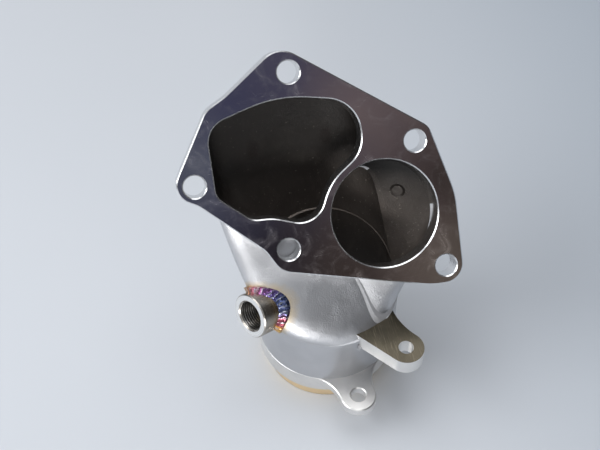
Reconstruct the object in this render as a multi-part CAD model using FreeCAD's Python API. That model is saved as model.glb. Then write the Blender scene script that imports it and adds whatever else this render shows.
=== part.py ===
import FreeCAD, Part
import math
import os

# Turbo outlet pipe, millimetres, +Z up.
# Origin: centre of the outlet, on the bottom face of the outlet spigot.
# The inlet flange faces forward and up, towards -Y.

# Overall layout
FLANGE_TILT = 50.0          # inlet flange plane against the horizontal, degrees
FLANGE_AT_Y = 13.8          # flange datum on its front face
FLANGE_AT_Z = 145.5
MITRE_TILT = 19.0           # joint between the ducts and the outlet collar, degrees
MITRE_AT_Z = 72.5
WALL = 3.0

# Inlet flange plate, flange plane coordinates: x across, y up the slope
FLANGE_THICKNESS = 12.7
FLANGE_CORNERS = [          # x, y, corner radius, in order round the plate
    (-16.0, 68.0, 13.5),
    (59.0, 14.8, 9.0),
    (69.7, -24.0, 45.0),
    (69.7, -72.4, 10.5),
    (51.5, -72.4, 40.0),
    (-30.7, -51.0, 13.0),
    (-37.6, -38.3, 12.0),
    (-69.0, -9.0, 15.0),
    (-82.8, -1.3, 10.0),
    (-58.1, 39.8, 14.0),
    (-47.0, 45.6, 30.0),
]
TURBINE_CORNERS = [
    (-59.0, -6.0, 9.0),
    (-42.0, -20.8, 10.0),
    (-31.0, -21.3, 25.0),
    (-8.0, -29.6, 13.5),
    (1.9, -7.2, 33.0),
    (21.9, 6.9, 18.0),
    (21.9, 33.9, 19.0),
    (-20.1, 42.3, 70.0),
    (-59.0, 31.2, 13.5),
]
TURBINE_CENTRE = (-19.0, 8.0)
WASTEGATE_CENTRE = (29.5, -28.6)
WASTEGATE_RADIUS = 29.5
BOLT_HOLES = [(-12.5, 53.5), (50.5, 8.0), (-69.5, 1.5), (-25.0, -39.5), (60.0, -62.5)]
BOLT_HOLE_DIAMETER = 12.0
EDGE_BREAK = 0.6

# Ducts
SECTION_POINTS = 24
RING_HEIGHTS = (0.3, 0.7)   # where the two middle sections lie, foot to flange
TURBINE_BULGE = 2.2
SHOULDER_BULGE = 8.0        # extra fullness of the lower ring, beside the bung
SHOULDER_DIRECTION = 236.0
SHOULDER_EXTRA_WALL = 3.0   # the bore is less full than the skin there
LEAN_RELIEF = 2.2           # the upper ring keeps clear of the flange in front
LEAN_EXTRA_WALL = 4.0
FRONT_FLARE = 4.0
WASTEGATE_WALL = 2.0
WASTEGATE_BULGE = 0.4
WASTEGATE_FOOT = (9.0, -6.5)
WASTEGATE_FOOT_RADIUS = 29.0

# Outlet collar, flange with two ears and spigot
COLLAR_RADIUS = 41.0
COLLAR_FOOT_Z = 25.0
RING_BOTTOM_Z = 13.0
RING_BORE_RADIUS = 33.5
SPIGOT_RADIUS = 36.5
SPIGOT_DEPTH = 4.0          # part of the spigot that sits inside the flange
EAR_THICKNESS = 5.5
EAR_AZIMUTH = -83.2
EAR_HOLE_OFFSET = 54.7
EAR_RADIUS = 10.4
EAR_HOLE_DIAMETER = 8.8
EAR_BLEND = 22.0

# Support bracket
BRACKET_TOP_Z = 63.0
BRACKET_THICKNESS = 10.0
BRACKET_HOLE = (32.7, -52.1)
BRACKET_HOLE_DIAMETER = 8.5
BRACKET_END_RADIUS = 10.2
BRACKET_DIRECTION = -50.0
BRACKET_BLEND = 38.0

# Oxygen sensor bung
BUNG_POINT = (-37.5, -17.7, 74.8)
BUNG_AXIS = (-0.835, -0.466, 0.29)
BUNG_DIAMETER = 25.4
BUNG_LENGTH = 15.0
THREAD_DIAMETER = 18.0
TAPPING_DIAMETER = 16.4

# Weld beads
BEAD_WIDTH = 2.2
BEAD_HEIGHT = 0.4
FLANGE_BEAD = 1.6
FOOT_BEAD = 2.5
SPIGOT_BEAD = 1.5
SEAM_BEAD = 1.2
BRACKET_BEAD = 2.0
BUNG_BEAD = 3.0


def vec(x, y, z=0.0):
    return FreeCAD.Vector(x, y, z)


def rounded_outline(corners):
    """Closed wire of straight runs and tangent arcs, one arc at each corner."""
    starts = []
    arcs = []
    count = len(corners)
    for i in range(count):
        x, y, radius = corners[i]
        corner = vec(x, y)
        before = vec(*corners[i - 1][:2]) - corner
        after = vec(*corners[(i + 1) % count][:2]) - corner
        before.normalize()
        after.normalize()
        half = before.getAngle(after) / 2
        reach = radius / math.tan(half)
        bisector = before + after
        bisector.normalize()
        centre = corner + bisector * (radius / math.sin(half))
        first = corner + before * reach
        last = corner + after * reach
        middle = centre - bisector * radius
        starts.append((first, last))
        arcs.append(Part.Arc(first, middle, last).toShape())
    edges = []
    for i in range(count):
        edges.append(arcs[i])
        here = starts[i][1]
        there = starts[(i + 1) % count][0]
        if here.distanceToPoint(there) > 0.001:
            edges.append(Part.makeLine(here, there))
    return Part.Wire(Part.__sortEdges__(edges))


def cut_all(shape, tools):
    for tool in tools:
        shape = shape.cut(tool)
    return shape


def main_piece(shape):
    """The largest solid, without the chips that a cut can leave beside it."""
    return max(shape.Solids, key=lambda solid: solid.Volume)


def flange_placement():
    turn = FreeCAD.Rotation(vec(1, 0, 0), FLANGE_TILT)
    return FreeCAD.Placement(vec(0, FLANGE_AT_Y, FLANGE_AT_Z), turn)


def on_flange(shape):
    """Moves a shape drawn in flange plane coordinates to its place."""
    moved = shape.copy()
    moved.Placement = flange_placement().multiply(moved.Placement)
    return moved


def circle_wire(centre, radius):
    return Part.Wire(Part.makeCircle(radius, vec(*centre)))


def radial_points(wire, centre):
    """Points where evenly spaced rays from the centre meet the wire."""
    points = []
    for i in range(SECTION_POINTS):
        angle = 2 * math.pi * i / SECTION_POINTS
        far = vec(centre[0] + 200 * math.cos(angle), centre[1] + 200 * math.sin(angle))
        ray = Part.makeLine(vec(*centre), far)
        points.append(wire.distToShape(ray)[1][0][0])
    return points


def smooth_loop(points):
    curve = Part.BSplineCurve()
    steps = [i / len(points) for i in range(len(points) + 1)]
    curve.interpolate(Points=points, PeriodicFlag=True, Parameters=steps)
    return Part.Wire(curve.toShape())


def mitre_points(centre, radius, drop):
    slope = math.tan(math.radians(MITRE_TILT))
    points = []
    for i in range(SECTION_POINTS):
        angle = 2 * math.pi * i / SECTION_POINTS
        x = centre[0] + radius * math.cos(angle)
        y = centre[1] + radius * math.sin(angle)
        points.append(vec(x, y, MITRE_AT_Z + y * slope - drop))
    return points


def toward(angle, direction, sharpness):
    """1 in the given direction, falling smoothly to 0 away from it."""
    return max(0.0, math.cos(angle - math.radians(direction))) ** sharpness


def turbine_bulge(angle):
    shoulder = SHOULDER_BULGE * toward(angle, SHOULDER_DIRECTION, 6)
    lean = LEAN_RELIEF * toward(angle, 262, 2)
    return TURBINE_BULGE + shoulder, TURBINE_BULGE - lean


def turbine_bore_bulge(angle):
    lower, upper = turbine_bulge(angle)
    lower = lower - SHOULDER_EXTRA_WALL * toward(angle, SHOULDER_DIRECTION, 2)
    upper = upper - LEAN_EXTRA_WALL * toward(angle, 262, 2)
    return lower, upper


def wastegate_bulge(angle):
    return WASTEGATE_BULGE, WASTEGATE_BULGE


def no_flare(angle):
    return 0.0


def front_flare(angle):
    """How much further out the turbine duct meets the flange at its leaning front."""
    return FRONT_FLARE * toward(angle, 265, 2)


def duct_solid(top_wire, top_centre, foot_centre, foot_radius, bulge, flare, reach=0.0):
    """Smooth solid from a section behind the flange down to the mitre joint."""
    place = flange_placement()
    foot = mitre_points(foot_centre, foot_radius, reach)
    rim = radial_points(top_wire, top_centre)
    lower = []
    upper = []
    top = []
    for i in range(SECTION_POINTS):
        angle = 2 * math.pi * i / SECTION_POINTS
        outward = vec(math.cos(angle), math.sin(angle))
        point = rim[i] + outward * flare(angle) + vec(0, 0, reach - FLANGE_THICKNESS)
        top.append(place.multVec(point))
        rise = top[i] - foot[i]
        low_bulge, high_bulge = bulge(angle)
        lower.append(foot[i] + rise * RING_HEIGHTS[0] + outward * low_bulge)
        upper.append(foot[i] + rise * RING_HEIGHTS[1] + outward * high_bulge)
    sections = [smooth_loop(ring) for ring in (foot, lower, upper, top)]
    return Part.makeLoft(sections, True, False)


def turbine_opening():
    return rounded_outline(TURBINE_CORNERS)


def turbine_outer(swell=0.0):
    outline = turbine_opening().makeOffset2D(WALL + swell)
    return duct_solid(outline, TURBINE_CENTRE, (0, 0), COLLAR_RADIUS + swell,
                      turbine_bulge, front_flare)


def turbine_inner():
    return duct_solid(turbine_opening(), TURBINE_CENTRE, (0, 0), COLLAR_RADIUS - WALL,
                      turbine_bore_bulge, no_flare, 1.0)


def wastegate_outer(swell=0.0):
    outline = circle_wire(WASTEGATE_CENTRE, WASTEGATE_RADIUS + WASTEGATE_WALL + swell)
    return duct_solid(outline, WASTEGATE_CENTRE, WASTEGATE_FOOT, WASTEGATE_FOOT_RADIUS + swell,
                      wastegate_bulge, no_flare)


def wastegate_inner():
    outline = circle_wire(WASTEGATE_CENTRE, WASTEGATE_RADIUS)
    return duct_solid(outline, WASTEGATE_CENTRE, WASTEGATE_FOOT,
                      WASTEGATE_FOOT_RADIUS - WASTEGATE_WALL, wastegate_bulge, no_flare, 1.0)


def inlet_flange():
    plate = Part.Face(rounded_outline(FLANGE_CORNERS))
    plate = plate.extrude(vec(0, 0, -FLANGE_THICKNESS))
    rims = [turbine_opening(), circle_wire(WASTEGATE_CENTRE, WASTEGATE_RADIUS)]
    for centre in BOLT_HOLES:
        rims.append(circle_wire(centre, BOLT_HOLE_DIAMETER / 2))
    for rim in rims:
        hole = Part.Face(rim).extrude(vec(0, 0, -FLANGE_THICKNESS - 2))
        hole.translate(vec(0, 0, 1))
        plate = plate.cut(hole)
    front = [e for e in plate.Edges if e.BoundBox.ZMin > -0.01]
    return on_flange(plate.makeChamfer(EDGE_BREAK, front))


def mitre_placement(lift):
    turn = FreeCAD.Rotation(vec(1, 0, 0), MITRE_TILT)
    base = FreeCAD.Placement(vec(0, 0, MITRE_AT_Z), turn)
    return base.multiply(FreeCAD.Placement(vec(0, 0, lift), FreeCAD.Rotation()))


def mitre_block(bottom, height):
    """Large block laid along the mitre plane, used for trimming."""
    block = Part.makeBox(240, 240, height, vec(-120, -120, 0))
    block.Placement = mitre_placement(bottom)
    return block


def cylinder(radius, low, high):
    return Part.makeCylinder(radius, high - low, vec(0, 0, low))


def tube(outer, inner, low, high):
    return cylinder(outer, low, high).cut(cylinder(inner, low - 1, high + 1))


def mitre_weld():
    band = tube(COLLAR_RADIUS + BEAD_HEIGHT, COLLAR_RADIUS - WALL - BEAD_HEIGHT, 40, 110)
    return band.common(mitre_block(-BEAD_WIDTH / 2, BEAD_WIDTH))


def outlet_collar():
    high = 110
    pipe = tube(COLLAR_RADIUS, COLLAR_RADIUS - WALL, COLLAR_FOOT_Z, high)
    return pipe.cut(mitre_block(-BEAD_WIDTH / 2, 200))


def ear(turn):
    """One bolt ear, blended into the flange ring on both sides."""
    side = EAR_RADIUS + EAR_BLEND
    span = COLLAR_RADIUS + EAR_BLEND
    reach = math.sqrt(span ** 2 - side ** 2)
    share = COLLAR_RADIUS / span
    half_turn = (math.pi * 2.5 + math.atan2(side, reach)) / 2
    middle_x = reach + EAR_BLEND * math.cos(half_turn)
    middle_y = side + EAR_BLEND * math.sin(half_turn)
    points = {}
    for hand in (-1, 1):
        points[hand] = (
            vec(reach * share, hand * side * share),
            vec(middle_x, hand * middle_y),
            vec(reach, hand * EAR_RADIUS),
            vec(EAR_HOLE_OFFSET, hand * EAR_RADIUS),
        )
    low = points[-1]
    high = points[1]
    tip = vec(EAR_HOLE_OFFSET + EAR_RADIUS, 0)
    edges = [
        Part.Arc(low[0], low[1], low[2]).toShape(),
        Part.makeLine(low[2], low[3]),
        Part.Arc(low[3], tip, high[3]).toShape(),
        Part.makeLine(high[3], high[2]),
        Part.Arc(high[2], high[1], high[0]).toShape(),
        Part.makeLine(high[0], low[0]),
    ]
    plate = Part.Face(Part.Wire(edges)).extrude(vec(0, 0, EAR_THICKNESS))
    plate.translate(vec(0, 0, COLLAR_FOOT_Z - EAR_THICKNESS))
    plate.rotate(vec(0, 0, 0), vec(0, 0, 1), EAR_AZIMUTH + turn)
    return plate


def ear_hole_centre(turn):
    angle = math.radians(EAR_AZIMUTH + turn)
    return vec(EAR_HOLE_OFFSET * math.cos(angle), EAR_HOLE_OFFSET * math.sin(angle))


def outlet_flange():
    body = cylinder(COLLAR_RADIUS, RING_BOTTOM_Z, COLLAR_FOOT_Z)
    for turn in (0, 180):
        body = body.fuse(ear(turn))
    body = body.removeSplitter()
    body = body.cut(cylinder(RING_BORE_RADIUS, 0, 50))
    body = body.cut(cylinder(SPIGOT_RADIUS, 0, RING_BOTTOM_Z + SPIGOT_DEPTH))
    for turn in (0, 180):
        hole = Part.makeCylinder(EAR_HOLE_DIAMETER / 2, 40, ear_hole_centre(turn))
        body = body.cut(hole)
    rims = []
    for edge in body.Edges:
        box = edge.BoundBox
        flat = abs(box.ZMin - COLLAR_FOOT_Z) < 0.01 and box.ZLength < 0.01
        farthest = max(math.hypot(v.X, v.Y) for v in edge.Vertexes)
        if flat and farthest > COLLAR_RADIUS + 0.5:
            rims.append(edge)
    return body.makeChamfer(EDGE_BREAK, rims)


def outlet_spigot():
    return tube(SPIGOT_RADIUS, RING_BORE_RADIUS, 0, RING_BOTTOM_Z + SPIGOT_DEPTH)


def support_bracket(body):
    """Plate ear with a wide blend on its far side, coped round the body."""
    angle = math.radians(BRACKET_DIRECTION)
    along = vec(math.cos(angle), math.sin(angle))
    across = vec(math.sin(angle), -math.cos(angle))
    hole = vec(*BRACKET_HOLE)
    near = hole + across * BRACKET_END_RADIUS
    far = hole - across * BRACKET_END_RADIUS
    tip = hole + along * BRACKET_END_RADIUS
    blend_centre = far - across * BRACKET_BLEND
    start = math.atan2(across.y, across.x)
    blend = []
    for turn in (16.5, 33.0):
        t = start - math.radians(turn)
        blend.append(blend_centre + vec(math.cos(t), math.sin(t)) * BRACKET_BLEND)
    inside = vec(0, 0)
    root = near - along * 32
    edges = [
        Part.makeLine(root, near),
        Part.Arc(near, tip, far).toShape(),
        Part.Arc(far, blend[0], blend[1]).toShape(),
        Part.makeLine(blend[1], inside),
        Part.makeLine(inside, root),
    ]
    plate = Part.Face(Part.Wire(edges)).extrude(vec(0, 0, BRACKET_THICKNESS))
    plate.translate(vec(0, 0, BRACKET_TOP_Z - BRACKET_THICKNESS))
    bore = Part.makeCylinder(BRACKET_HOLE_DIAMETER / 2, 100, hole)
    return cut_all(plate.cut(bore), body)


def bung_axis():
    axis = vec(*BUNG_AXIS)
    axis.normalize()
    return axis


def bung_cylinder(radius, low, high):
    axis = bung_axis()
    return Part.makeCylinder(radius, high - low, vec(*BUNG_POINT) + axis * low, axis)


def sensor_bung(body):
    barrel = bung_cylinder(BUNG_DIAMETER / 2, -8, BUNG_LENGTH)
    face = [e for e in barrel.Edges if e.Closed and far_along(e)]
    barrel = barrel.makeChamfer(EDGE_BREAK, face)
    barrel = cut_all(barrel, body)
    barrel = barrel.cut(bung_cylinder(TAPPING_DIAMETER / 2, -20, BUNG_LENGTH + 5))
    axis = bung_axis()
    top = vec(*BUNG_POINT) + axis * BUNG_LENGTH
    lead = (THREAD_DIAMETER - TAPPING_DIAMETER) / 2 + 0.2
    cone = Part.makeCone(TAPPING_DIAMETER / 2 + lead, TAPPING_DIAMETER / 2, lead, top, axis * -1)
    return barrel.cut(cone)


def far_along(edge):
    return (edge.CenterOfMass - vec(*BUNG_POINT)).dot(bung_axis()) > BUNG_LENGTH - 0.1


def foot_weld():
    """Inside fillet between the collar and the flange ledge."""
    radius = COLLAR_RADIUS - WALL
    profile = Part.makePolygon([
        vec(radius, 0, COLLAR_FOOT_Z),
        vec(radius, 0, COLLAR_FOOT_Z + FOOT_BEAD),
        vec(radius - FOOT_BEAD, 0, COLLAR_FOOT_Z),
        vec(radius, 0, COLLAR_FOOT_Z),
    ])
    return Part.Face(profile).revolve(vec(0, 0, 0), vec(0, 0, 1), 360)


def spigot_weld():
    """Small outside fillet between the spigot and the flange ring."""
    profile = Part.makePolygon([
        vec(SPIGOT_RADIUS, 0, RING_BOTTOM_Z),
        vec(SPIGOT_RADIUS + SPIGOT_BEAD, 0, RING_BOTTOM_Z),
        vec(SPIGOT_RADIUS, 0, RING_BOTTOM_Z - SPIGOT_BEAD),
        vec(SPIGOT_RADIUS, 0, RING_BOTTOM_Z),
    ])
    return Part.Face(profile).revolve(vec(0, 0, 0), vec(0, 0, 1), 360)


def bead_along(points, radius):
    """Round bead swept along a smooth line through the points."""
    line = Part.BSplineCurve()
    line.interpolate(points)
    start = line.FirstParameter
    ring = Part.makeCircle(radius, line.value(start), line.tangent(start)[0])
    sweep = Part.BRepOffsetAPI.MakePipeShell(Part.Wire(line.toShape()))
    sweep.setFrenetMode(False)
    sweep.add(Part.Wire(ring))
    sweep.build()
    sweep.makeSolid()
    bead = sweep.shape()
    if bead.Volume < 0:
        bead.reverse()
    return bead


def bung_weld(skin, body):
    """Rainbow bead: a ring of metal that follows the wall round the bung."""
    raised = bung_axis() * (BUNG_BEAD * 0.7)
    ring = bung_cylinder(BUNG_DIAMETER / 2 + BUNG_BEAD, -14, 14)
    lifted = skin.copy()
    lifted.translate(raised)
    bead = cut_all(ring.common(lifted), body)
    return bead.cut(bung_cylinder(BUNG_DIAMETER / 2, -30, 30))


def flange_weld(outer_1, outer_2):
    """Fillet behind the flange round the outline of both ducts."""
    reach = WALL + FLANGE_BEAD
    ring_1 = Part.Face(turbine_opening().makeOffset2D(reach))
    round_reach = WASTEGATE_RADIUS + WASTEGATE_WALL + FLANGE_BEAD
    ring_2 = Part.Face(circle_wire(WASTEGATE_CENTRE, round_reach))
    pads = []
    for ring in (ring_1, ring_2):
        pad = ring.extrude(vec(0, 0, -FLANGE_BEAD - 1))
        far = [e for e in pad.Edges if e.BoundBox.ZMax < -FLANGE_BEAD - 0.99]
        pad = pad.makeChamfer(FLANGE_BEAD * 0.8, far)
        pad.translate(vec(0, 0, 1 - FLANGE_THICKNESS))
        pads.append(on_flange(pad))
    plate = Part.makeBox(240, 240, 20, vec(-120, -120, -FLANGE_THICKNESS))
    pads = pads[0].fuse(pads[1])
    return main_piece(cut_all(pads, [outer_1, outer_2, on_flange(plate)]))


def seam_weld(body, fillet):
    """Bead in the crease between the ducts: the space close to both skins."""
    bead = turbine_outer(SEAM_BEAD).common(wastegate_outer(SEAM_BEAD))
    bead = cut_all(bead, body + [fillet, mitre_block(-100, 100 + BEAD_WIDTH / 2)])
    return main_piece(bead)


def bracket_weld(bracket):
    """Bead under the plate where it meets the collar."""
    points = []
    for i in range(9):
        angle = math.radians(-78 + 36 * i / 8)
        x = COLLAR_RADIUS * math.cos(angle)
        y = COLLAR_RADIUS * math.sin(angle)
        points.append(vec(x, y, BRACKET_TOP_Z - BRACKET_THICKNESS))
    bead = bead_along(points, BRACKET_BEAD)
    return bead.cut(cylinder(COLLAR_RADIUS, 0, 90)).cut(bracket)


def save(shape, name):
    shape.exportStep(os.path.join("parts", name + ".step"))
    print(name, len(shape.Solids), round(shape.Volume, 1), shape.isValid())


os.makedirs("parts", exist_ok=True)

outer_1 = turbine_outer()
inner_1 = turbine_inner()
outer_2 = wastegate_outer()
inner_2 = wastegate_inner()
trim = mitre_block(-100, 100 + BEAD_WIDTH / 2)
collar_core = cylinder(COLLAR_RADIUS, 20, 110).cut(mitre_block(0, 200))
body = [outer_1, outer_2, collar_core, mitre_weld()]
bung_hole = bung_cylinder(TAPPING_DIAMETER / 2 + 1, -20, BUNG_LENGTH)
bracket = support_bracket(body)
fillet = flange_weld(outer_1, outer_2)

save(inlet_flange(), "inlet_flange")
save(outer_1.cut(inner_1).cut(inner_2).cut(trim).cut(bung_hole), "turbine_duct")
save(main_piece(outer_2.cut(outer_1).cut(inner_2).cut(trim)), "wastegate_duct")
save(outlet_collar().cut(bung_hole), "outlet_collar")
save(outlet_flange(), "outlet_flange")
save(outlet_spigot(), "outlet_spigot")
save(bracket, "support_bracket")
save(sensor_bung(body), "sensor_bung")
save(mitre_weld().cut(bung_hole), "collar_weld")
save(bung_weld(outer_1, body), "sensor_bung_weld")
save(fillet, "inlet_flange_weld")
save(seam_weld(body, fillet), "duct_seam_weld")
save(bracket_weld(bracket), "bracket_weld")
save(foot_weld(), "outlet_flange_weld")
save(spigot_weld(), "spigot_weld")
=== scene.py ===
import math

import bmesh
import bpy
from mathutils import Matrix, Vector


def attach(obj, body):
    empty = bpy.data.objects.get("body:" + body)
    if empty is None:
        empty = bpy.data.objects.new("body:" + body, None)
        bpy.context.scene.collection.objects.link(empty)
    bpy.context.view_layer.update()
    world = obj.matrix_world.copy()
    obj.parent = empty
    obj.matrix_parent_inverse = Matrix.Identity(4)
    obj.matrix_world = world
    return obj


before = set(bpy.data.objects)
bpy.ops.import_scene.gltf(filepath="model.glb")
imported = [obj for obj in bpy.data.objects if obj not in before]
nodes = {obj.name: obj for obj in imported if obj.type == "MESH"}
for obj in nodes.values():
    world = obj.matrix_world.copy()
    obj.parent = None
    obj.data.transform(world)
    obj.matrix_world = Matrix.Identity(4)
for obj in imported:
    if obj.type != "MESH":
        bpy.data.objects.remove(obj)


def write_size():
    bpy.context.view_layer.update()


write_size()

# Geometry that the finishes follow, in metres and in the part's own frame
FLANGE_TILT = math.radians(50)
FLANGE_NORMAL = (0, -math.sin(FLANGE_TILT), math.cos(FLANGE_TILT))
FLANGE_UP = (0, math.cos(FLANGE_TILT), math.sin(FLANGE_TILT))
FLANGE_CENTRE = (0, 0.0138, 0.1455)
BUNG_BASE = Vector((-0.0375, -0.0177, 0.0748))
BUNG_AXIS = Vector((-0.835, -0.466, 0.29)).normalized()
BUNG_HOLE_RADIUS = 0.0084
THREAD_PITCH = 0.0015
COLLAR_RADIUS = 0.041
LIP_RADIUS = 0.0365
LIP_TOP_Z = 0.016
DUCT_RADIUS = 0.040
DUCT_FOOT_Z = 0.0725
TURBINE_LEAN = (-0.019 / 0.071, 0.029 / 0.071)
WASTEGATE_START = (0.008, -0.007)
WASTEGATE_LEAN = (0.0215 / 0.045, 0.0123 / 0.045)

# Cosines within which a facet counts as facing one way
FACING = 0.9
PLATE_FACING = 0.985

# Front wall of the round port's duct. The bore of the solid comes out through this wall just
# below the plate and leaves a crescent-shaped gap there, which a thin shell closes.
FLANGE_THICKNESS = 0.0127
PORT_CENTRE = (0.0295, -0.0286)
PORT_DUCT_RADIUS = 0.0315
PORT_FOOT = (0.009, -0.0065)
PORT_FOOT_RADIUS = 0.029
MITRE_SLOPE = math.tan(math.radians(19))
PORT_WALL_TURN = (math.radians(240), math.radians(320))
PORT_WALL_REACH = 0.42
PORT_WALL_LIFTS = (0.0004, -0.0006)
PORT_WALL_GRID = (40, 12)

# Film inside the ducts, painted light that makes it lighter towards the bottom, painted reflections
# of the bolt holes, and a dimple; each pair of radii or heights is none to full
SOOT_DULLNESS = 0.45
PAINTED_LIGHT_HEIGHTS = (0.130, 0.080)
PAINTED_REFLECTION_SPOTS = [(-0.0340, 0.0434, 0.1376), (0.0074, 0.0445, 0.1395)]
PAINTED_REFLECTION_RADII = (0.0042, 0.0022)
DIMPLE = (0.0429, 0.0171, 0.1155)
DIMPLE_RADII = (0.0044, 0.0030)

# Heat of the bung's weld: straw colour round it, and how far it reaches along the bung
HALO_RADII = (0.0205, 0.0165)
WARM_LENGTH = 0.014

# Soft patches of painted reflection on the polished plate, partly temper colour: x, y, radius,
# depth, colour
PLATE_PAINTED_REFLECTIONS = [
    (-0.066, 0.012, 0.045, 0.60, (0.34, 0.37, 0.46)),
    (-0.045, 0.042, 0.030, 0.60, (0.12, 0.12, 0.24)),
    (0.005, 0.058, 0.040, 0.45, (0.16, 0.14, 0.22)),
    (-0.030, -0.040, 0.045, 0.85, (0.050, 0.046, 0.062)),
    (0.005, -0.060, 0.045, 0.75, (0.220, 0.165, 0.130)),
    (0.060, -0.012, 0.034, 0.70, (0.150, 0.115, 0.115)),
    (0.058, -0.066, 0.040, 0.95, (0.95, 0.78, 0.66)),
    (0.022, 0.028, 0.040, 0.65, (0.62, 0.46, 0.44)),
]

# Overlapping scales of the heat-tinted bead
RIPPLES_PER_RADIAN = 5.2

# Stage
FLOOR_SIZE = 6
FLOOR_Z = -0.0004
SKY_TURN = -0.42
SKY_STRENGTH = 0.55
SENSOR_WIDTH = 36.0
LENS = 63.0
CAMERA_PLACE = (-0.09205, -0.35549, 0.55322)
CAMERA_TURN = (math.radians(40), 0, math.radians(-12))


class Shader:
    """Small helper that builds one node material."""

    def __init__(self, name):
        self.material = bpy.data.materials.new(name)
        self.material.use_nodes = True
        self.tree = self.material.node_tree
        self.tree.nodes.clear()
        self.out = self.tree.nodes.new("ShaderNodeOutputMaterial")
        self.surface = self.tree.nodes.new("ShaderNodeBsdfPrincipled")
        self.tree.links.new(self.surface.outputs[0], self.out.inputs[0])
        self.geometry = self.tree.nodes.new("ShaderNodeNewGeometry")
        self.coords = self.tree.nodes.new("ShaderNodeTexCoord")

    def put(self, socket, value):
        if hasattr(value, "links"):
            self.tree.links.new(value, socket)
        else:
            socket.default_value = value

    def math(self, kind, a, b=0.0, c=0.0):
        n = self.tree.nodes.new("ShaderNodeMath")
        n.operation = kind
        for i, v in enumerate((a, b, c)):
            self.put(n.inputs[i], v)
        return n.outputs[0]

    def vector(self, kind, a, b=(0, 0, 0), scale=None):
        n = self.tree.nodes.new("ShaderNodeVectorMath")
        n.operation = kind
        self.put(n.inputs[0], a)
        self.put(n.inputs[1], b)
        if scale is not None:
            self.put(n.inputs["Scale"], scale)
        return n.outputs["Value"] if kind in ("DOT_PRODUCT", "LENGTH", "DISTANCE") else n.outputs[0]

    def split(self, v):
        n = self.tree.nodes.new("ShaderNodeSeparateXYZ")
        self.put(n.inputs[0], v)
        return n.outputs[0], n.outputs[1], n.outputs[2]

    def join(self, x, y, z):
        n = self.tree.nodes.new("ShaderNodeCombineXYZ")
        for i, v in enumerate((x, y, z)):
            self.put(n.inputs[i], v)
        return n.outputs[0]

    def place(self):
        return self.coords.outputs["Object"]

    def normal(self):
        return self.geometry.outputs["True Normal"]

    def stretch(self, v, scale):
        n = self.tree.nodes.new("ShaderNodeMapping")
        self.put(n.inputs["Vector"], v)
        n.inputs["Scale"].default_value = scale
        return n.outputs[0]

    def noise(self, v, scale, detail=4.0, rough=0.55, distortion=0.0):
        n = self.tree.nodes.new("ShaderNodeTexNoise")
        self.put(n.inputs["Vector"], v)
        n.inputs["Scale"].default_value = scale
        n.inputs["Detail"].default_value = detail
        n.inputs["Roughness"].default_value = rough
        n.inputs["Distortion"].default_value = distortion
        return n.outputs[0]

    def rings(self, v, scale, distortion, detail, detail_scale):
        """Turning marks: rings round the third axis of the vector."""
        n = self.tree.nodes.new("ShaderNodeTexWave")
        n.wave_type = "RINGS"
        n.rings_direction = "Z"
        self.put(n.inputs["Vector"], v)
        n.inputs["Scale"].default_value = scale
        n.inputs["Distortion"].default_value = distortion
        n.inputs["Detail"].default_value = detail
        n.inputs["Detail Scale"].default_value = detail_scale
        return n.outputs["Fac"]

    def ramp(self, value, stops):
        n = self.tree.nodes.new("ShaderNodeValToRGB")
        self.put(n.inputs[0], value)
        band = n.color_ramp.elements
        while len(band) < len(stops):
            band.new(0.5)
        for element, (at, colour) in zip(band, stops):
            element.position = at
        for element, (at, colour) in zip(band, stops):
            element.color = (*colour, 1)
        return n.outputs[0]

    def range(self, value, low, high, to_low=0.0, to_high=1.0):
        n = self.tree.nodes.new("ShaderNodeMapRange")
        n.clamp = True
        self.put(n.inputs["Value"], value)
        n.inputs["From Min"].default_value = low
        n.inputs["From Max"].default_value = high
        n.inputs["To Min"].default_value = to_low
        n.inputs["To Max"].default_value = to_high
        return n.outputs["Result"]

    def mix(self, factor, a, b):
        n = self.tree.nodes.new("ShaderNodeMix")
        n.data_type = "RGBA"
        self.put(n.inputs["Factor"], factor)
        for socket, v in ((n.inputs[6], a), (n.inputs[7], b)):
            if hasattr(v, "links"):
                self.tree.links.new(v, socket)
            else:
                socket.default_value = (*v, 1)
        return n.outputs[2]

    def bump(self, height, strength, distance):
        n = self.tree.nodes.new("ShaderNodeBump")
        self.put(n.inputs["Height"], height)
        self.put(n.inputs["Strength"], strength)
        n.inputs["Distance"].default_value = distance
        return n.outputs[0]

    def finish(self, colour, rough, metallic, normal=None):
        self.put(self.surface.inputs["Metallic"], metallic)
        self.put(self.surface.inputs["Base Color"], colour)
        self.put(self.surface.inputs["Roughness"], rough)
        if normal is not None:
            self.put(self.surface.inputs["Normal"], normal)
        return self.material


def around_and_along(s, radius):
    """Coordinates that run round the vertical axis and along it, for turned and brushed metal."""
    x, y, z = s.split(s.place())
    turn = s.math("ARCTAN2", y, x)
    return s.join(s.math("MULTIPLY", turn, radius), 0.0, z)


def inside_mask(s, start, lean):
    """1 on the bore side of a wall whose axis leans, 0 on its outer side."""
    x, y, z = s.split(s.place())
    nx, ny = s.split(s.normal())[:2]
    rise = s.math("SUBTRACT", z, DUCT_FOOT_Z)
    away_x = s.math("SUBTRACT", x, s.math("MULTIPLY_ADD", rise, lean[0], start[0]))
    away_y = s.math("SUBTRACT", y, s.math("MULTIPLY_ADD", rise, lean[1], start[1]))
    dot = s.math("MULTIPLY_ADD", away_x, nx, s.math("MULTIPLY", away_y, ny))
    return s.math("LESS_THAN", dot, 0.0)


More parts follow.
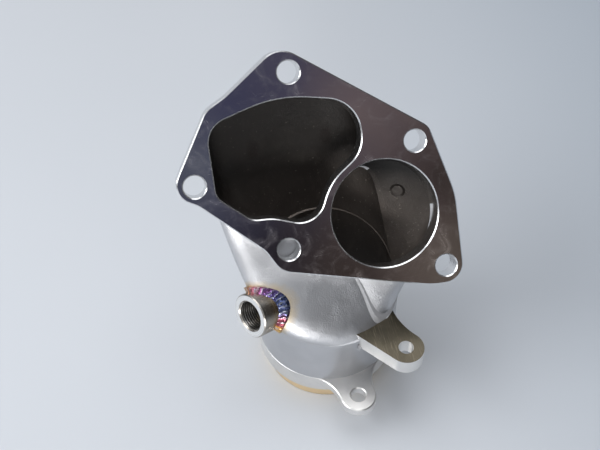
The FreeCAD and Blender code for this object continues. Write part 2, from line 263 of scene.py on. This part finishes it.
def soot(s, level=1.0):
    """Dull brown-grey film and its roughness for the inside of the ducts, with painted light
    lighter towards the bottom, painted shade set by the level at the top, and painted reflections
    of the bolt holes.
    """
    cloud = s.noise(s.place(), 38.0, 5.0, 0.6)
    streak = s.noise(s.stretch(s.place(), (160, 160, 60)), 1.0, 3.0)
    speck = s.range(s.noise(s.place(), 900.0, 1.0), 0.735, 0.76)
    colour = s.mix(cloud, (0.030, 0.025, 0.022), (0.060, 0.050, 0.043))
    colour = s.mix(s.range(streak, 0.58, 0.80, 0.0, 0.6), colour, (0.075, 0.064, 0.054))
    colour = s.mix(s.math("MULTIPLY", speck, 0.6), colour, (0.30, 0.27, 0.23))
    # Painted light and shade: the film is scaled darker at the top by the level and lighter towards
    # the bottom, standing in for the light on the lower walls
    painted_light_by_height = s.range(s.split(s.place())[2], *PAINTED_LIGHT_HEIGHTS, level, 3.2)
    colour = s.vector("SCALE", colour, scale=painted_light_by_height)
    # Painted reflections: dark spots where the bolt holes show in the polished bore
    for reflection_spot in PAINTED_REFLECTION_SPOTS:
        away = s.stretch(s.vector("SUBTRACT", s.place(), reflection_spot), (1.0, 1.0, 0.5))
        near = s.range(s.vector("LENGTH", away), *PAINTED_REFLECTION_RADII, 0.0, 0.75)
        colour = s.mix(near, colour, (0.010, 0.006, 0.005))
    return colour, s.range(cloud, 0.3, 0.7, 0.42, 0.58)


def bung_frame(s):
    """Distance along the bung's axis, distance from it, and the turn round it."""
    rel = s.vector("SUBTRACT", s.place(), tuple(BUNG_BASE))
    side = BUNG_AXIS.cross(Vector((0, 0, 1))).normalized()
    up = side.cross(BUNG_AXIS)
    along = s.vector("DOT_PRODUCT", rel, tuple(BUNG_AXIS))
    a = s.vector("DOT_PRODUCT", rel, tuple(side))
    b = s.vector("DOT_PRODUCT", rel, tuple(up))
    radius = s.math("SQRT", s.math("MULTIPLY_ADD", a, a, s.math("MULTIPLY", b, b)))
    return along, radius, s.math("ARCTAN2", b, a)


def grain(s):
    """Fine pitted height of blasted and ground steel."""
    fine = s.noise(s.place(), 1500.0, 2.0, 0.6)
    coarse = s.noise(s.place(), 420.0, 3.0, 0.6)
    return s.math("MULTIPLY_ADD", coarse, 0.6, fine)


def duct_skin(name, start, lean, level):
    """Grainy satin duct wall with a straw halo round the bung, sooty on its bore side."""
    s = Shader(name)
    cloud = s.noise(s.place(), 34.0, 4.0, 0.5, 0.4)
    drawn = s.noise(s.stretch(around_and_along(s, DUCT_RADIUS), (900, 1, 60)), 1.0, 4.0, 0.6)
    patch = s.range(s.noise(s.place(), 55.0, 2.0), 0.42, 0.6)
    skin = s.mix(cloud, (0.47, 0.475, 0.495), (0.64, 0.64, 0.65))
    skin = s.mix(s.range(drawn, 0.6, 0.8, 0.0, 0.35), skin, (0.42, 0.42, 0.44))
    bung_radius = bung_frame(s)[1]
    halo = s.math("MULTIPLY_ADD", s.noise(s.place(), 260.0, 3.0), 0.003, bung_radius)
    skin = s.mix(s.range(halo, *HALO_RADII, 0.0, 0.75), skin, (0.62, 0.47, 0.25))
    inner, inner_rough = soot(s, level)
    mask = inside_mask(s, start, lean)
    colour = s.mix(mask, skin, inner)
    rough = s.math("MULTIPLY_ADD", cloud, 0.16, 0.36)
    gap = s.math("SUBTRACT", inner_rough, rough)
    rough = s.math("MULTIPLY_ADD", mask, gap, rough)
    height = s.math("MULTIPLY", drawn, 0.25)
    height = s.math("MULTIPLY_ADD", grain(s), s.math("MULTIPLY_ADD", patch, 0.9, 0.5), height)
    dimple = s.range(s.vector("DISTANCE", s.place(), DIMPLE), *DIMPLE_RADII)
    height = s.math("MULTIPLY_ADD", dimple, -9.0, height)
    metallic = s.math("MULTIPLY_ADD", mask, -SOOT_DULLNESS, 1.0)
    return s.finish(colour, rough, metallic, s.bump(height, 0.6, 0.00027))


def collar_steel():
    """Tube brushed round its axis, sooty in its bore."""
    s = Shader("collar_steel")
    along = around_and_along(s, COLLAR_RADIUS)
    brushed = s.noise(s.stretch(along, (40, 1, 2600)), 1.0, 5.0, 0.65)
    cloud = s.noise(s.place(), 45.0, 3.0)
    skin = s.mix(cloud, (0.46, 0.465, 0.48), (0.62, 0.62, 0.635))
    inner = soot(s)[0]
    mask = inside_mask(s, (0, 0), (0, 0))
    colour = s.mix(mask, skin, inner)
    rough = s.math("MULTIPLY_ADD", brushed, 0.22, 0.22)
    height = s.math("MULTIPLY_ADD", grain(s), 0.25, brushed)
    metallic = s.math("MULTIPLY_ADD", mask, -SOOT_DULLNESS, 1.0)
    return s.finish(colour, rough, metallic, s.bump(height, 0.4, 0.00016))


def machined_plate():
    """Polished face with painted reflections and temper colours, fine scratches and smears, bright
    cut sides.
    """
    s = Shader("machined_plate")
    facing = s.vector("DOT_PRODUCT", s.normal(), FLANGE_NORMAL)
    face = s.math("GREATER_THAN", facing, PLATE_FACING)
    rel = s.vector("SUBTRACT", s.place(), FLANGE_CENTRE)
    across = s.split(rel)[0]
    up = s.vector("DOT_PRODUCT", rel, FLANGE_UP)
    flat = s.join(across, up, 0.0)
    drift = s.noise(flat, 22.0, 4.0, 0.6, 0.6)
    # Painted reflection: the face is lighter to the right and darker upwards, standing in for the
    # room seen in the polish
    tone = s.math("MULTIPLY_ADD", drift, 0.5, s.range(across, -0.08, 0.08, 0.0, 0.8))
    tone = s.math("MULTIPLY_ADD", s.range(up, -0.07, 0.07), -0.35, tone)
    face_colour = s.ramp(tone, [
        (0.0, (0.15, 0.15, 0.24)), (0.3, (0.22, 0.20, 0.29)), (0.55, (0.33, 0.26, 0.28)),
        (0.8, (0.50, 0.37, 0.34)), (1.0, (0.44, 0.35, 0.29)),
    ])
    # Painted reflection patches over the face
    for x, y, radius, depth, shade in PLATE_PAINTED_REFLECTIONS:
        away = s.vector("DISTANCE", flat, (x, y, 0))
        face_colour = s.mix(s.range(away, radius, 0.0, 0.0, depth), face_colour, shade)
    lathe_centre = s.join(s.math("ADD", across, 0.004), s.math("ADD", up, 0.03), 0.0)
    lathe = s.rings(lathe_centre, 95.0, 1.2, 3.0, 6.0)
    fine_a = s.noise(s.stretch(flat, (60, 1900, 1)), 1.0, 3.0, 0.7)
    turned_x = s.math("MULTIPLY_ADD", up, 0.8, across)
    turned = s.join(turned_x, s.math("MULTIPLY_ADD", across, -0.8, up), 0.0)
    fine_b = s.noise(s.stretch(turned, (2100, 45, 1)), 1.0, 3.0, 0.7)
    scratch = s.math("MAXIMUM", s.range(fine_a, 0.66, 0.72), s.range(fine_b, 0.68, 0.73))
    smear = s.range(s.noise(flat, 70.0, 5.0, 0.7, 1.2), 0.5, 0.72)
    face_colour = s.mix(s.math("MULTIPLY", scratch, 0.45), face_colour, (0.72, 0.69, 0.66))
    face_colour = s.mix(s.math("MULTIPLY", smear, 0.30), face_colour, (0.58, 0.55, 0.55))
    side_colour = s.mix(s.noise(s.place(), 90.0), (0.66, 0.66, 0.67), (0.82, 0.82, 0.82))
    colour = s.mix(face, side_colour, face_colour)
    face_rough = s.math("MULTIPLY_ADD", smear, 0.16, s.math("MULTIPLY_ADD", scratch, 0.12, 0.15))
    rough = s.math("MULTIPLY_ADD", face, s.math("SUBTRACT", face_rough, 0.24), 0.24)
    fine = s.math("MULTIPLY_ADD", fine_a, 0.25, s.math("MULTIPLY", fine_b, 0.25))
    height = s.math("MULTIPLY_ADD", lathe, 0.10, fine)
    return s.finish(colour, rough, 1.0, s.bump(height, 0.22, 0.00010))


def plain_steel(name, low, high):
    """Satin steel with fine level lines, its colour drifting between the two given."""
    s = Shader(name)
    cloud = s.noise(s.place(), 80.0, 4.0)
    lines = s.noise(s.stretch(s.place(), (300, 300, 2200)), 1.0, 3.0)
    colour = s.mix(cloud, low, high)
    colour = s.mix(s.range(lines, 0.6, 0.75, 0.0, 0.4), colour, (0.85, 0.85, 0.85))
    height = s.math("MULTIPLY_ADD", grain(s), 0.3, s.math("MULTIPLY", lines, 0.6))
    rough = s.math("MULTIPLY_ADD", cloud, 0.15, 0.3)
    return s.finish(colour, rough, 1.0, s.bump(height, 0.35, 0.00015))


def tinted_steel():
    """Straw-coloured lip with turning lines, sooty in its bore."""
    s = Shader("tinted_steel")
    z = s.split(s.place())[2]
    drift = s.noise(s.place(), 60.0, 4.0)
    warm = s.math("MULTIPLY_ADD", drift, 0.5, s.range(z, 0.0, LIP_TOP_Z, 0.0, 0.6))
    colour = s.ramp(warm, [
        (0.0, (0.80, 0.62, 0.40)), (0.4, (0.92, 0.74, 0.48)),
        (0.75, (0.92, 0.82, 0.64)), (1.0, (0.84, 0.80, 0.74)),
    ])
    inner = soot(s)[0]
    mask = inside_mask(s, (0, 0), (0, 0))
    lines = s.noise(s.stretch(around_and_along(s, LIP_RADIUS), (40, 1, 2400)), 1.0, 4.0)
    rough = s.math("MULTIPLY_ADD", lines, 0.2, 0.25)
    return s.finish(s.mix(mask, colour, inner), rough, 1.0, s.bump(lines, 0.35, 0.00015))


def bracket_steel():
    """Painted dark reflection with a golden tint on top, bright on the cut edges."""
    s = Shader("bracket_steel")
    top = s.math("GREATER_THAN", s.split(s.normal())[2], FACING)
    cloud = s.noise(s.place(), 75.0, 4.0, 0.6, 0.5)
    lines = s.noise(s.stretch(s.place(), (1900, 90, 90)), 1.0, 4.0)
    # Painted reflection: the top is darkened where it mirrors the dark room
    painted_dark_top = s.mix(cloud, (0.055, 0.048, 0.036), (0.15, 0.13, 0.095))
    painted_dark_top = s.mix(s.range(lines, 0.55, 0.75, 0.0, 0.5), painted_dark_top, (0.30, 0.26, 0.19))
    pale = s.mix(cloud, (0.70, 0.69, 0.67), (0.86, 0.85, 0.83))
    colour = s.mix(top, pale, painted_dark_top)
    rough = s.math("MULTIPLY_ADD", lines, 0.18, 0.24)
    return s.finish(colour, rough, 1.0, s.bump(lines, 0.35, 0.00015))


def bung_steel():
    """Turned barrel, warmer towards the weld, with a pale end face and a thread in its hole, whose
    stripes are painted shade and highlight.
    """
    s = Shader("bung_steel")
    along, radius, turn = bung_frame(s)
    in_hole = s.math("LESS_THAN", radius, BUNG_HOLE_RADIUS)
    facing = s.vector("DOT_PRODUCT", s.normal(), tuple(BUNG_AXIS))
    end_face = s.math("GREATER_THAN", facing, FACING)
    near_weld = s.range(along, 0.0, WARM_LENGTH, 0.9, 0.0)
    warm = s.math("MULTIPLY_ADD", s.noise(s.place(), 120.0, 3.0), 0.25, near_weld)
    barrel = s.ramp(warm, [
        (0.0, (0.42, 0.40, 0.37)), (0.45, (0.36, 0.31, 0.25)),
        (0.8, (0.40, 0.28, 0.14)), (1.0, (0.50, 0.36, 0.17)),
    ])
    face = s.mix(s.noise(s.place(), 200.0), (0.84, 0.83, 0.81), (0.95, 0.94, 0.92))
    colour = s.mix(end_face, barrel, face)
    pitch = s.math("MULTIPLY_ADD", turn, 1 / (2 * math.pi), s.math("DIVIDE", along, THREAD_PITCH))
    tooth = s.math("PINGPONG", pitch, 0.5)
    # Painted shade and highlight: the thread is drawn in dark and light stripes along its pitch
    colour = s.mix(in_hole, colour, s.mix(tooth, (0.20, 0.19, 0.18), (0.70, 0.69, 0.66)))
    lathe = s.join(s.math("MULTIPLY", along, 3500.0), s.math("MULTIPLY", radius, 3500.0), 0.0)
    turned = s.noise(lathe, 1.0, 3.0)
    thread = s.math("MULTIPLY", in_hole, tooth)
    height = s.math("MULTIPLY_ADD", thread, 9.0, s.math("MULTIPLY", turned, 0.5))
    rough = s.math("MULTIPLY_ADD", turned, 0.15, 0.18)
    return s.finish(colour, rough, 1.0, s.bump(height, 0.5, 0.00016))


def rainbow_weld():
    """Heat-tinted bead: straw, purple, blue, then red and straw again, with overlapping scales."""
    s = Shader("rainbow_weld")
    turn = bung_frame(s)[2]
    drift = s.noise(s.place(), 240.0, 3.0)
    at = s.math("MULTIPLY_ADD", drift, 0.08, s.range(turn, -math.pi, math.pi, -0.04, 0.96))
    colour = s.ramp(at, [
        (0.00, (0.55, 0.20, 0.07)), (0.05, (0.68, 0.42, 0.12)), (0.12, (0.66, 0.52, 0.22)),
        (0.60, (0.60, 0.46, 0.24)), (0.66, (0.44, 0.19, 0.13)), (0.71, (0.28, 0.09, 0.20)),
        (0.76, (0.14, 0.09, 0.26)), (0.82, (0.06, 0.08, 0.18)), (0.92, (0.06, 0.07, 0.14)),
        (0.96, (0.26, 0.07, 0.09)),
    ])
    phase = s.math("MULTIPLY_ADD", drift, 1.9, s.math("MULTIPLY", turn, RIPPLES_PER_RADIAN))
    ripple = s.math("PINGPONG", phase, 0.5)
    broken = s.range(s.noise(s.place(), 420.0, 2.0), 0.40, 0.58, 0.2, 0.9)
    glint = s.math("MULTIPLY", s.range(ripple, 0.30, 0.5), broken)
    colour = s.mix(glint, colour, (0.60, 0.62, 0.66))
    height = s.math("MULTIPLY_ADD", ripple, 2.0, drift)
    rough = s.math("MULTIPLY_ADD", drift, 0.15, 0.2)
    return s.finish(colour, rough, 1.0, s.bump(height, 0.8, 0.00035))


def weld_metal(name, hollow):
    """Bead finish: sooty on the bore side of a hollow bead, dull and even on a fillet outside."""
    s = Shader(name)
    cloud = s.noise(s.place(), 160.0, 4.0)
    ripple = s.noise(s.place(), 700.0, 2.0)
    if not hollow:
        colour = s.mix(cloud, (0.34, 0.34, 0.35), (0.46, 0.46, 0.47))
        rough = s.math("MULTIPLY_ADD", cloud, 0.15, 0.42)
        return s.finish(colour, rough, 0.45, s.bump(ripple, 0.35, 0.0003))
    colour = s.mix(cloud, (0.46, 0.465, 0.48), (0.62, 0.62, 0.635))
    inner = soot(s)[0]
    mask = inside_mask(s, (0, 0), (0, 0))
    metallic = s.math("MULTIPLY_ADD", mask, -SOOT_DULLNESS, 1.0)
    rough = s.math("MULTIPLY_ADD", cloud, 0.2, 0.30)
    return s.finish(s.mix(mask, colour, inner), rough, metallic, s.bump(ripple, 0.3, 0.0002))


finishes = {
    "inlet_flange": machined_plate(),
    # The last number of each duct sets the painted shade at the top of its bore
    "turbine_duct": duct_skin("turbine_duct_skin", (0, 0), TURBINE_LEAN, 0.38),
    "wastegate_duct": duct_skin("wastegate_duct_skin", WASTEGATE_START, WASTEGATE_LEAN, 0.08),
    "outlet_collar": collar_steel(),
    "outlet_flange": plain_steel("flange_steel", (0.68, 0.67, 0.66), (0.90, 0.88, 0.85)),
    "outlet_spigot": tinted_steel(),
    "support_bracket": bracket_steel(),
    "sensor_bung": bung_steel(),
    "sensor_bung_weld": rainbow_weld(),
    "collar_weld": weld_metal("collar_bead", True),
    "outlet_flange_weld": weld_metal("bore_bead", True),
}
weld = weld_metal("outer_bead", False)
for name, o in nodes.items():
    o.data.materials.clear()
    o.data.materials.append(finishes.get(name, weld))


def port_wall_point(turn, share, lift):
    """Point of the duct wall: share 0 at the plate, 1 at the mitre joint."""
    outward = Vector((math.cos(turn), math.sin(turn), 0))
    across = PORT_CENTRE[0] + PORT_DUCT_RADIUS * outward.x
    up = PORT_CENTRE[1] + PORT_DUCT_RADIUS * outward.y
    top = Vector(FLANGE_CENTRE) + Vector((across, 0, 0)) + Vector(FLANGE_UP) * up
    top -= Vector(FLANGE_NORMAL) * FLANGE_THICKNESS
    x = PORT_FOOT[0] + PORT_FOOT_RADIUS * outward.x
    y = PORT_FOOT[1] + PORT_FOOT_RADIUS * outward.y
    foot = Vector((x, y, DUCT_FOOT_Z + y * MITRE_SLOPE))
    return top.lerp(foot, share) + outward * lift


def port_wall_layer(mesh, lift):
    """Grid of vertices over the front of the duct wall, raised by the lift."""
    columns, rows = PORT_WALL_GRID
    low, high = PORT_WALL_TURN
    layer = []
    for i in range(columns + 1):
        turn = low + (high - low) * i / columns
        column = [port_wall_point(turn, PORT_WALL_REACH * j / rows, lift) for j in range(rows + 1)]
        layer.append([mesh.verts.new(point) for point in column])
    return layer


def port_wall():
    """Thin closed shell over the front of the duct, right below the plate."""
    columns, rows = PORT_WALL_GRID
    mesh = bmesh.new()
    outer, inner = [port_wall_layer(mesh, lift) for lift in PORT_WALL_LIFTS]
    for i in range(columns):
        for j in range(rows):
            mesh.faces.new((outer[i][j], outer[i][j + 1], outer[i + 1][j + 1], outer[i + 1][j]))
            mesh.faces.new((inner[i][j], inner[i + 1][j], inner[i + 1][j + 1], inner[i][j + 1]))
    for i in range(columns):
        for j in (0, rows):
            mesh.faces.new((outer[i][j], outer[i + 1][j], inner[i + 1][j], inner[i][j]))
    for j in range(rows):
        for i in (0, columns):
            mesh.faces.new((outer[i][j], outer[i][j + 1], inner[i][j + 1], inner[i][j]))
    bmesh.ops.recalc_face_normals(mesh, faces=mesh.faces)
    data = bpy.data.meshes.new("port_front_wall")
    mesh.to_mesh(data)
    mesh.free()
    data.shade_smooth()
    data.materials.append(finishes["wastegate_duct"])
    wall = bpy.data.objects.new("port_front_wall", data)
    bpy.context.scene.collection.objects.link(wall)
    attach(wall, "root")


port_wall()

# Floor, backdrop light and camera
bpy.ops.mesh.primitive_plane_add(size=FLOOR_SIZE, location=(0, 0, FLOOR_Z))
floor = bpy.context.object
floor.name = "paper"
paper = Shader("paper")
soft = paper.noise(paper.place(), 3.0, 2.0)
tone = paper.mix(soft, (0.575, 0.60, 0.635), (0.635, 0.655, 0.69))
# Painted shade: the paper gets darker towards the right, where less of the light falls
paper_x = paper.split(paper.place())[0]
tone = paper.mix(paper.range(paper_x, 0.02, 0.30, 0.0, 0.9), tone, (0.43, 0.475, 0.53))
paper.finish(tone, 0.9, 0.0)
floor.data.materials.append(paper.material)

world = bpy.data.worlds.new("studio")
bpy.context.scene.world = world
world.use_nodes = True
sky = world.node_tree
sky.nodes.clear()
sky_out = sky.nodes.new("ShaderNodeOutputWorld")
sky_light = sky.nodes.new("ShaderNodeBackground")
sky_coords = sky.nodes.new("ShaderNodeTexCoord")
sky_split = sky.nodes.new("ShaderNodeSeparateXYZ")
sky_ramp = sky.nodes.new("ShaderNodeValToRGB")
sky.links.new(sky_coords.outputs["Generated"], sky_split.inputs[0])
sky_side = sky.nodes.new("ShaderNodeMath")
sky_side.operation = "MULTIPLY_ADD"
sky.links.new(sky_split.outputs[0], sky_side.inputs[0])
sky_side.inputs[1].default_value = SKY_TURN
sky.links.new(sky_split.outputs[2], sky_side.inputs[2])
sky.links.new(sky_side.outputs[0], sky_ramp.inputs[0])
stops = sky_ramp.color_ramp.elements
stops[0].position = 0.30
stops[0].color = (0.13, 0.125, 0.13, 1)
stops[1].position = 0.85
stops[1].color = (0.90, 0.94, 1.0, 1)
sky.links.new(sky_ramp.outputs[0], sky_light.inputs[0])
sky_light.inputs[1].default_value = SKY_STRENGTH
sky.links.new(sky_light.outputs[0], sky_out.inputs[0])


def lamp(name, place, target, size, power, colour=(1, 1, 1)):
    """Rectangular light that points at the target."""
    data = bpy.data.lights.new(name, "AREA")
    data.shape = "RECTANGLE"
    data.size, data.size_y = size
    data.energy = power
    data.color = colour
    o = bpy.data.objects.new(name, data)
    o.location = place
    o.rotation_euler = (Vector(target) - Vector(place)).to_track_quat("-Z", "Y").to_euler()
    bpy.context.scene.collection.objects.link(o)


lamp("window", (-1.1, -0.15, 0.8), (0, 0, 0.07), (0.9, 0.9), 11.0, (0.97, 0.985, 1.0))
lamp("front_fill", (-0.30, -1.20, 0.16), (0, 0, 0.05), (0.34, 0.30), 8.0)
lamp("ceiling", (0.0, 0.3, 1.4), (0, 0, 0.05), (1.2, 1.0), 8.0, (0.98, 0.99, 1.0))

camera = bpy.data.objects.new("camera", bpy.data.cameras.new("camera"))
camera.data.sensor_width = SENSOR_WIDTH
camera.data.lens = LENS
camera.data.clip_start = 0.01
camera.location = CAMERA_PLACE
camera.rotation_euler = CAMERA_TURN
bpy.context.scene.collection.objects.link(camera)
bpy.context.scene.camera = camera
bpy.context.scene.view_settings.view_transform = "Standard"

write_size()
